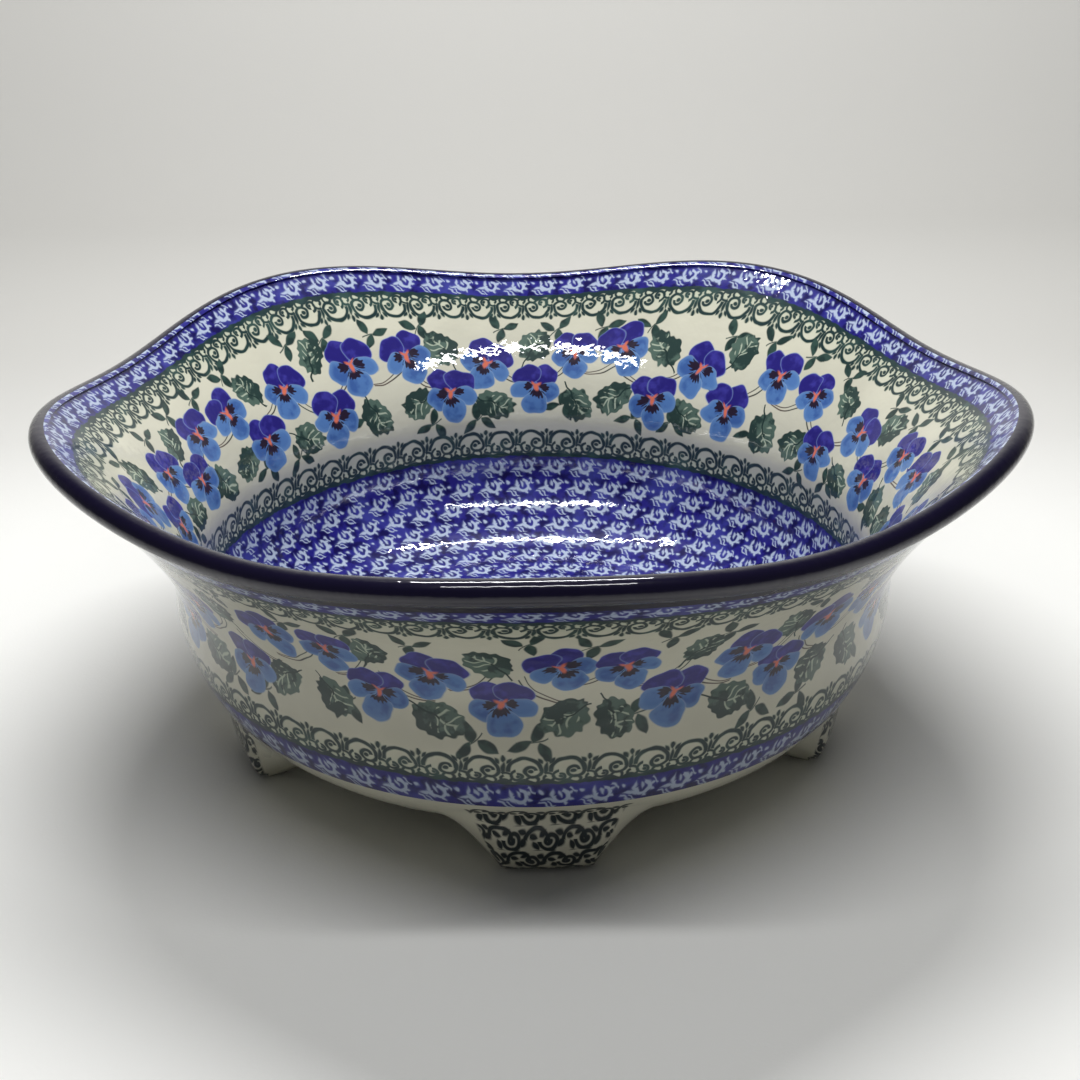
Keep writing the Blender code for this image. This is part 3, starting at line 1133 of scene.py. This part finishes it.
class LobedLathe:
    """Geometry Nodes that turn a section round the axis, with lobes above and feet below."""

    INPUTS = {
        "Lobes": "NodeSocketFloat",
        "Lobe Reach": "NodeSocketFloat",
        "Lobe Lift": "NodeSocketFloat",
        "First Lobe": "NodeSocketFloat",
        "Foot Turn": "NodeSocketFloat",
        "Foot Radius": "NodeSocketFloat",
        "Pad Half Width": "NodeSocketFloat",
        "Foot Half Width": "NodeSocketFloat",
        "Flank Power": "NodeSocketFloat",
        "Glaze": "NodeSocketMaterial",
    }

    @staticmethod
    def _named(graph: Graph, name: str) -> Term:
        """A number that the section's rows carry."""
        node = graph.add("GeometryNodeInputNamedAttribute")
        node.data_type = "FLOAT"
        node.inputs["Name"].default_value = name
        return Term(graph, node.outputs["Attribute"])

    def _foot_share(self, graph: Graph, turn: Term, value: dict[str, Term]) -> Term:
        """1 over a pad, 0 between the feet, easing down each flared side."""
        pitch = (2 * math.pi) / value["Lobes"]
        around = (turn - value["First Lobe"] - value["Foot Turn"]) / pitch + 0.5
        distance = abs(around.fold() - 0.5) * pitch * value["Foot Radius"]
        fallen = (distance - value["Pad Half Width"]) / (
            value["Foot Half Width"] - value["Pad Half Width"]
        )
        left = (1.0 - fallen).most(0.0).least(1.0)
        return graph.math("POWER", left, value["Flank Power"])

    def build(self) -> bpy.types.NodeTree:
        """The node tree.

        Returns:
            A tree that takes the rows as a mesh with named numbers and gives the bowl.
        """
        g = Graph.group(
            "lobed_lathe", "GeometryNodeTree",
            {"Geometry": "NodeSocketGeometry", **self.INPUTS},
            {"Geometry": "NodeSocketGeometry"},
        )
        value = {name: Term(g, g.source.outputs[name]) for name in self.INPUTS if name != "Glaze"}
        turn = self._named(g, "turn")
        weight = self._named(g, "weight")
        wave = ((turn - value["First Lobe"]) * value["Lobes"]).cosine() * weight
        share = self._foot_share(g, turn, value)
        plain_radius, plain_height = self._named(g, "radius"), self._named(g, "height")
        radius = plain_radius + (self._named(g, "foot_radius") - plain_radius) * share
        height = plain_height + (self._named(g, "foot_height") - plain_height) * share
        radius = radius + wave * value["Lobe Reach"]
        height = height + wave * value["Lobe Lift"]
        place = g.spot(radius * turn.cosine(), radius * turn.sine(), height)
        move = g.add("GeometryNodeSetPosition")
        g.join(g.source.outputs["Geometry"], move.inputs["Geometry"])
        g.join(place.socket, move.inputs["Position"])
        whole = g.add("GeometryNodeRealizeInstances")
        g.join(move.outputs["Geometry"], whole.inputs["Geometry"])
        dress = g.add("GeometryNodeSetMaterial")
        g.join(whole.outputs["Geometry"], dress.inputs["Geometry"])
        g.join(g.source.outputs["Glaze"], dress.inputs["Material"])
        g.join(dress.outputs["Geometry"], g.sink.inputs["Geometry"])
        return g.tree


@dataclass
class FootedBowl:
    """The bowl's skin, its painting's places and its finish."""

    shape: BowlShape
    columns: int = 480
    garland_seed: int = 12
    sharp: float = math.radians(50)

    WALL_SHARE = 0.785            # part of the flat layout's width that the wall takes
    GAP = 0.004                   # room round each piece of the layout
    FLOOR_MIDDLE, BASE_MIDDLE = 0.25, 0.75
    MOTIF_REACH = 1.75            # half sizes from a motif's centre that still hold paint

    def __post_init__(self) -> None:
        """Works out the section."""
        self.profile = Profile(self.shape).build()
        self.rings = self.profile.rings
        self.strips = self.profile.strips

    def build(self) -> bpy.types.Object:
        """Makes the finished bowl and ties it to the frame.

        Returns:
            The bowl as one closed mesh.
        """
        rows = self._rows()
        glaze = StonewareGlaze(Paints()).build()
        bowl = self._turned(rows, glaze)
        self._centre(bowl.data)
        self._place_bands(bowl.data)
        self._place_garland(bowl.data)
        self._lay_out(bowl.data)
        bowl.data.shade_smooth()
        bowl.data.set_sharp_from_angle(angle=self.sharp)
        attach(bowl, "root")
        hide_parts("footed_bowl")
        return bowl

    @property
    def turns(self) -> np.ndarray:
        """Direction of each column."""
        return np.arange(self.columns) * 2 * math.pi / self.columns

    def _rows(self) -> bpy.types.Object:
        """The section's rows as a closed mesh, with the numbers that the lathe reads."""
        rings = self.rings
        rows, columns = len(rings), self.columns
        row, column = np.meshgrid(np.arange(rows - 1), np.arange(columns), indexing="ij")
        after = (column + 1) % columns
        quads = np.stack([
            row * columns + column, (row + 1) * columns + column,
            (row + 1) * columns + after, row * columns + after,
        ], axis=-1).reshape(-1, 4)
        top, bottom = rows * columns, rows * columns + 1
        last = (rows - 1) * columns
        ring = np.arange(columns)
        beside = (ring + 1) % columns
        caps = [(top, a, b) for a, b in zip(ring, beside)]
        caps += [(last + a, bottom, last + b) for a, b in zip(ring, beside)]
        mesh = bpy.data.meshes.new("footed_bowl_rows")
        mesh.from_pydata(
            np.zeros((rows * columns + 2, 3)).tolist(), [],
            quads.tolist() + [tuple(int(v) for v in cap) for cap in caps],
        )
        s = self.shape
        ends = {"radius": (0.0, 0.0), "height": (s.floor_height, s.base_height), "weight": (0, 0)}
        ends.update(foot_radius=ends["radius"], foot_height=ends["height"], turn=(0.0, 0.0))
        numbers = {
            "radius": [r.plain[0] for r in rings], "height": [r.plain[1] for r in rings],
            "foot_radius": [r.foot[0] for r in rings], "foot_height": [r.foot[1] for r in rings],
            "weight": [r.weight for r in rings],
        }
        for name, values in numbers.items():
            self._write(mesh, name, "FLOAT", "POINT", np.r_[np.repeat(values, columns), ends[name]])
        self._write(mesh, "turn", "FLOAT", "POINT", np.r_[np.tile(self.turns, rows), ends["turn"]])
        rows_object = bpy.data.objects.new("footed_bowl_rows", mesh)
        bpy.context.scene.collection.objects.link(rows_object)
        return rows_object

    @staticmethod
    def _write(mesh: bpy.types.Mesh, name: str, kind: str, domain: str, values: np.ndarray) -> None:
        """Stores numbers or places on a mesh as a named attribute."""
        layer = mesh.attributes.new(name, kind, domain)
        title = "vector" if kind == "FLOAT_VECTOR" else "value"
        layer.data.foreach_set(title, np.ascontiguousarray(values, np.float32).ravel())

    def _turned(self, rows: bpy.types.Object, glaze: bpy.types.Material) -> bpy.types.Object:
        """Turns the rows on the lathe and gives the result as a plain mesh."""
        s = self.shape
        tree = LobedLathe().build()
        sizes = {
            "Lobes": float(s.lobes), "Lobe Reach": s.lobe_reach, "Lobe Lift": s.lobe_lift,
            "First Lobe": s.first_lobe, "Foot Turn": s.foot_turn, "Foot Radius": s.foot_radius,
            "Pad Half Width": s.foot_pad_half_width, "Foot Half Width": s.foot_half_width,
            "Flank Power": s.foot_flank_power, "Glaze": glaze,
        }
        modifier = rows.modifiers.new("lathe", "NODES")
        modifier.node_group = tree
        for item in tree.interface.items_tree:
            if item.in_out == "INPUT" and item.name in sizes:
                modifier[item.identifier] = sizes[item.name]
        evaluated = rows.evaluated_get(bpy.context.evaluated_depsgraph_get())
        mesh = bpy.data.meshes.new_from_object(evaluated)
        rows.modifiers.remove(modifier)
        bpy.data.objects.remove(rows)
        mesh.name = "footed_bowl_skin"
        for name in ("radius", "height", "foot_radius", "foot_height", "weight", "turn"):
            mesh.attributes.remove(mesh.attributes[name])
        bowl = bpy.data.objects.new("painted_footed_bowl", mesh)
        bpy.context.scene.collection.objects.link(bowl)
        return bowl

    def _centre(self, mesh: bpy.types.Mesh) -> None:
        """Stands the skin in the middle of the frame's box, because its lobes are uneven."""
        places = np.empty(len(mesh.vertices) * 3, np.float32)
        mesh.vertices.foreach_get("co", places)
        places = places.reshape(-1, 3)
        low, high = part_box("footed_bowl")
        middle = (np.array(low) + np.array(high)) / 2
        shift = middle - (places.min(0) + places.max(0)) / 2
        mesh.transform(Matrix.Translation((shift[0], shift[1], 0.0)))

    def _corners(self) -> tuple[np.ndarray, np.ndarray]:
        """Row and column of each corner of the quads, with columns counted on past the last."""
        rows = len(self.rings)
        row, column = np.meshgrid(np.arange(rows - 1), np.arange(self.columns), indexing="ij")
        corner_rows = np.stack([row, row + 1, row + 1, row], axis=-1)
        corner_columns = np.stack([column, column, column + 1, column + 1], axis=-1)
        return corner_rows, corner_columns

    def _place_bands(self, mesh: bpy.types.Mesh) -> None:
        """Gives every corner its place in the repeating paint of its band."""
        rows, columns = self._corners()
        step = 2 * math.pi / self.columns
        values = np.zeros((*rows.shape, 3))
        s = self.shape
        for row in range(rows.shape[0]):
            strip = self.strips[row + 1]
            turn = columns[row] * step
            if strip.band is Band.FOOT:
                pitch = 2 * math.pi / s.lobes
                middle = (turn.mean(-1, keepdims=True) - s.first_lobe - s.foot_turn) / pitch
                away = turn - s.first_lobe - s.foot_turn - np.round(middle) * pitch
                along = away * s.foot_radius / StonewareGlaze.FOOT_CELL
            else:
                hand = -1.0 if strip.high > strip.low else 1.0
                along = hand * turn / (2 * math.pi) * strip.repeats + strip.shift
            values[row, ..., 0] = along
            values[row, ..., 1] = np.array([strip.low, strip.high, strip.high, strip.low])
            values[row, ..., 2] = float(strip.band)
        cap = np.zeros((self.columns, 3, 3))
        strip = self.strips[0]
        ring = np.arange(self.columns)
        share = -strip.repeats / self.columns
        cap[:, :, 0] = np.stack([ring + 0.5, ring, ring + 1], -1) * share
        cap[:, :, 1] = np.array([strip.low, strip.high, strip.high])
        cap[:, :, 2] = float(strip.band)
        base = np.zeros((self.columns, 3, 3))
        values = np.concatenate([values.reshape(-1, 3), cap.reshape(-1, 3), base.reshape(-1, 3)])
        self._write(mesh, "band", "FLOAT_VECTOR", "CORNER", values)

    def _place_garland(self, mesh: bpy.types.Mesh) -> None:
        """Gives the corners under each motif their place in it."""
        rows, columns = self._corners()
        shape = rows.shape
        radius = np.array([ring.plain[0] for ring in self.rings])[rows]
        arc = np.array([ring.arc for ring in self.rings])[rows]
        inside = np.array([ring.side is Side.INSIDE for ring in self.rings])[rows]
        turn = columns * 2 * math.pi / self.columns
        spare = np.full((2 * self.columns * 3, 3), NOWHERE)
        values = {name: np.full((*shape, 3), NOWHERE) for name in StonewareGlaze.LAYERS}
        nearest = {name: np.full(shape[:2], np.inf) for name in StonewareGlaze.LAYERS}
        motifs = Garland(self.profile, self.garland_seed).motifs()
        for motif in motifs:
            within = inside.all(-1) if motif.side is Side.INSIDE else ~inside.any(-1)
            away = (turn - motif.turn + math.pi) % (2 * math.pi) - math.pi
            hand = -1.0 if motif.side is Side.INSIDE else 1.0
            along = hand * away * radius / motif.size
            up = (arc - motif.arc) / motif.size * (1.0 if motif.side is Side.INSIDE else -1.0)
            cos, sin = math.cos(motif.tilt), math.sin(motif.tilt)
            x = along * cos + up * sin
            y = up * cos - along * sin
            if motif.mirror:
                x = -x
            far = np.hypot(x, y).max(-1)
            mine = within & (far < self.MOTIF_REACH) & (far < nearest[motif.layer])
            mine &= np.ptp(x, -1) < 1.0
            nearest[motif.layer][mine] = far[mine]
            values[motif.layer][mine] = np.stack([x, y, np.full(shape, motif.seed * 8)], -1)[mine]
        for name, places in values.items():
            flat = np.concatenate([places.reshape(-1, 3), spare])
            self._write(mesh, name, "FLOAT_VECTOR", "CORNER", flat)
        log.info("garland: %d motifs on both faces", len(motifs))

    def _lay_out(self, mesh: bpy.types.Mesh) -> None:
        """Lays the skin out flat: four half strips of wall beside two discs."""
        rows, columns = self._corners()
        arc = np.array([ring.arc for ring in self.rings])
        radius = np.array([ring.plain[0] for ring in self.rings])
        floor_rows = int(np.sum(arc[: int(np.argmax(radius))] < self.shape.floor_radius)) - 1
        last = len(self.rings) - 6
        uv = self._wall_layout(rows, columns, arc, floor_rows, last)
        turn = columns * 2 * math.pi / self.columns
        caps = []
        for mine, edge, middle, row, order in (
            (rows.max(-1) <= floor_rows, floor_rows, self.FLOOR_MIDDLE, 0, (2, 0, 1)),
            (rows.min(-1) >= last, last, self.BASE_MIDDLE, len(self.rings) - 1, (0, 2, 1)),
        ):
            uv[mine] = self._on_disc(radius[rows[mine]] / radius[edge], turn[mine], middle)
            here = np.arange(self.columns) * 2 * math.pi / self.columns
            there = (np.arange(self.columns) + 1) * 2 * math.pi / self.columns
            share = radius[row] / radius[edge]
            corner = [self._on_disc(share, angle, middle) for angle in (here, there)]
            three = (*corner, self._on_disc(0.0, here, middle))
            caps.append(np.stack([three[k] for k in order], axis=1).reshape(-1, 2))
        layer = mesh.uv_layers.new(name="OFBake", do_init=False)
        layout = np.concatenate([uv.reshape(-1, 2), *caps])
        layer.uv.foreach_set("vector", layout.astype(np.float32).ravel())

    def _on_disc(self, share: np.ndarray | float, turn: np.ndarray, middle: float) -> np.ndarray:
        """Place on a disc of the layout, by the share of its radius and the direction."""
        size = (1 - self.WALL_SHARE) / 2 - self.GAP
        reach = share * size
        across = self.WALL_SHARE + size + self.GAP / 2 + reach * np.cos(turn)
        return np.stack([across, middle + reach * np.sin(turn)], -1)

    def _wall_layout(self, rows: np.ndarray, columns: np.ndarray, arc: np.ndarray,
                     floor_rows: int, last: int) -> np.ndarray:
        """Places of the wall's corners in the layout: each face of the wall in two halves.

        Args:
            rows: Row of each corner.
            columns: Column of each corner.
            arc: Arc of each row.
            floor_rows: Row where the inner wall begins.
            last: Row where the underside begins.

        Returns:
            A place for every corner; those of the two discs are still to be set.
        """
        half = self.columns // 2
        inside = np.array([ring.side is Side.INSIDE for ring in self.rings])[rows].all(-1)
        first_outside = next(k for k, r in enumerate(self.rings) if r.side is Side.OUTSIDE)
        inside_span = (arc[floor_rows], arc[first_outside - 1] + 1.0 * MM)
        outside_span = (arc[first_outside], arc[last])
        total = 2 * (inside_span[1] - inside_span[0]) + 2 * (outside_span[1] - outside_span[0])
        scale = (1 - 8 * self.GAP) / total
        uv = np.zeros((*rows.shape, 2))
        second = columns.min(-1) >= half
        across = (columns - np.where(second, half, 0)[..., None]) / half
        uv[..., 0] = self.GAP + across * (self.WALL_SHARE - 2 * self.GAP)
        least_arc = np.where(inside[..., None], 0.0, outside_span[0])
        corner_arc = np.maximum(arc[rows], least_arc)
        crossing = rows.min(-1) == first_outside - 1
        corner_arc[crossing, 1] = corner_arc[crossing, 2] = inside_span[1]
        on_inside = (inside | crossing) & (rows.min(-1) >= floor_rows)
        low = self.GAP
        for belongs, span in ((on_inside, inside_span), (~on_inside, outside_span)):
            for part in (False, True):
                mine = belongs & (second == part)
                uv[mine, :, 1] = low + (corner_arc[mine] - span[0]) * scale
                low += (span[1] - span[0]) * scale + 2 * self.GAP
        return uv


# ---------------------------------------------------------------------------- studio


@dataclass
class Studio:
    """Pale table and wall in one sweep, soft lights and the camera."""

    table_colour: tuple = paint(243, 243, 240)
    wall_colour: tuple = paint(218, 217, 213)

    # name, place, aim, length and width, power
    LIGHTS = (
        ("front_tube", (0.0, -0.265, 0.645), (0.0, 0.0, 0.05), (0.60, 0.030), 2.15),
        ("back_tube", (-0.015, 0.20, 0.645), (0.0, 0.0, 0.05), (0.50, 0.010), 4.0),
        ("wall_light", (0.0, 0.30, 0.55), (0.0, 0.86, 0.50), (1.6, 0.10), 4.0),
    )
    ROOM_STRENGTH = 0.07
    LENS = 59.17
    CAMERA_PLACE = (-0.0003, -0.5107, 0.2918)

    def build(self) -> None:
        """Sets up everything that isn't the bowl."""
        self._sweep()
        self._lights()
        self._camera()

    def _sweep(self) -> None:
        """A table that turns up into a wall, well behind the bowl."""
        bend, back, wide, tall, front = 0.22, 0.86, 2.4, 2.0, -1.4
        line = [(front, 0.0), (0.0, 0.0), (back - bend, 0.0)]
        line += [(back - bend + bend * math.sin(a), bend - bend * math.cos(a))
                 for a in (math.pi / 2 * k / 16 for k in range(1, 17))]
        line += [(back, 0.6), (back, tall)]
        mesh = bpy.data.meshes.new("sweep")
        places = [(x, y, z) for y, z in line for x in (-wide, wide)]
        faces = [(2 * k, 2 * k + 1, 2 * k + 3, 2 * k + 2) for k in range(len(line) - 1)]
        mesh.from_pydata(places, [], faces)
        mesh.shade_smooth()
        material = bpy.data.materials.new("pale_sweep")
        material.use_nodes = True
        g = Graph(material.node_tree)
        coords = g.add("ShaderNodeTexCoord").outputs["Object"]
        depth = Spot.read(g, coords).y
        weave = Term(g, g.noise(coords, 900.0, 1.0).outputs["Fac"])
        shader = material.node_tree.nodes["Principled BSDF"]
        colour = g.mix(depth.rises(0.12, 0.40), self.table_colour, self.wall_colour)
        g.feed(shader.inputs["Base Color"], colour)
        shader.inputs["Roughness"].default_value = 0.6
        bump = g.add("ShaderNodeBump")
        bump.inputs["Strength"].default_value = 0.12
        bump.inputs["Distance"].default_value = 0.3 * MM
        g.feed(bump.inputs["Height"], weave)
        g.feed(shader.inputs["Normal"], bump.outputs["Normal"])
        mesh.materials.append(material)
        sweep = bpy.data.objects.new("sweep", mesh)
        bpy.context.scene.collection.objects.link(sweep)

    def _area(self, name: str, place: tuple, aim: tuple, size: tuple, power: float) -> None:
        """Adds one soft rectangular light."""
        light = bpy.data.lights.new(name, "AREA")
        light.shape = "RECTANGLE"
        light.size, light.size_y = size
        light.energy = power
        lamp = bpy.data.objects.new(name, light)
        lamp.location = place
        lamp.rotation_mode = "QUATERNION"
        lamp.rotation_quaternion = (Vector(aim) - Vector(place)).to_track_quat("-Z", "Y")
        bpy.context.scene.collection.objects.link(lamp)

    def _lights(self) -> None:
        """Two tubes overhead, whose streaks lie on the glaze, a wall light and a pale room."""
        for light in self.LIGHTS:
            self._area(*light)
        world = bpy.data.worlds.new("pale_room")
        world.use_nodes = True
        background = world.node_tree.nodes["Background"]
        background.inputs["Color"].default_value = (1.0, 1.0, 0.98, 1.0)
        background.inputs["Strength"].default_value = self.ROOM_STRENGTH
        bpy.context.scene.world = world

    def _camera(self) -> None:
        """Looks down at the bowl from in front."""
        data = bpy.data.cameras.new("camera")
        data.sensor_width = 36.0
        data.lens = self.LENS
        data.clip_start = 0.01
        camera = bpy.data.objects.new("camera", data)
        pitch, yaw, roll = 0.4236, 0.0044, -0.0101
        ahead = Vector((
            math.sin(yaw) * math.cos(pitch), math.cos(yaw) * math.cos(pitch), -math.sin(pitch),
        ))
        right = Vector((math.cos(yaw), -math.sin(yaw), 0.0))
        up = right.cross(ahead)
        side = math.cos(roll) * right + math.sin(roll) * up
        top = math.cos(roll) * up - math.sin(roll) * right
        turn = Matrix((side, top, -ahead)).transposed()
        camera.matrix_world = Matrix.Translation(self.CAMERA_PLACE) @ turn.to_4x4()
        bpy.context.scene.collection.objects.link(camera)
        bpy.context.scene.camera = camera
        bpy.context.scene.view_settings.view_transform = "Standard"


def main() -> None:
    """Builds the bowl and its studio."""
    logging.basicConfig(level=logging.INFO, format="%(name)s: %(message)s")
    bowl = FootedBowl(BowlShape()).build()
    log.info("%s: %d faces", bowl.name, len(bowl.data.polygons))
    Studio().build()
    log.info("studio: sweep, lights and camera")


if __name__ == "__main__":
    main()
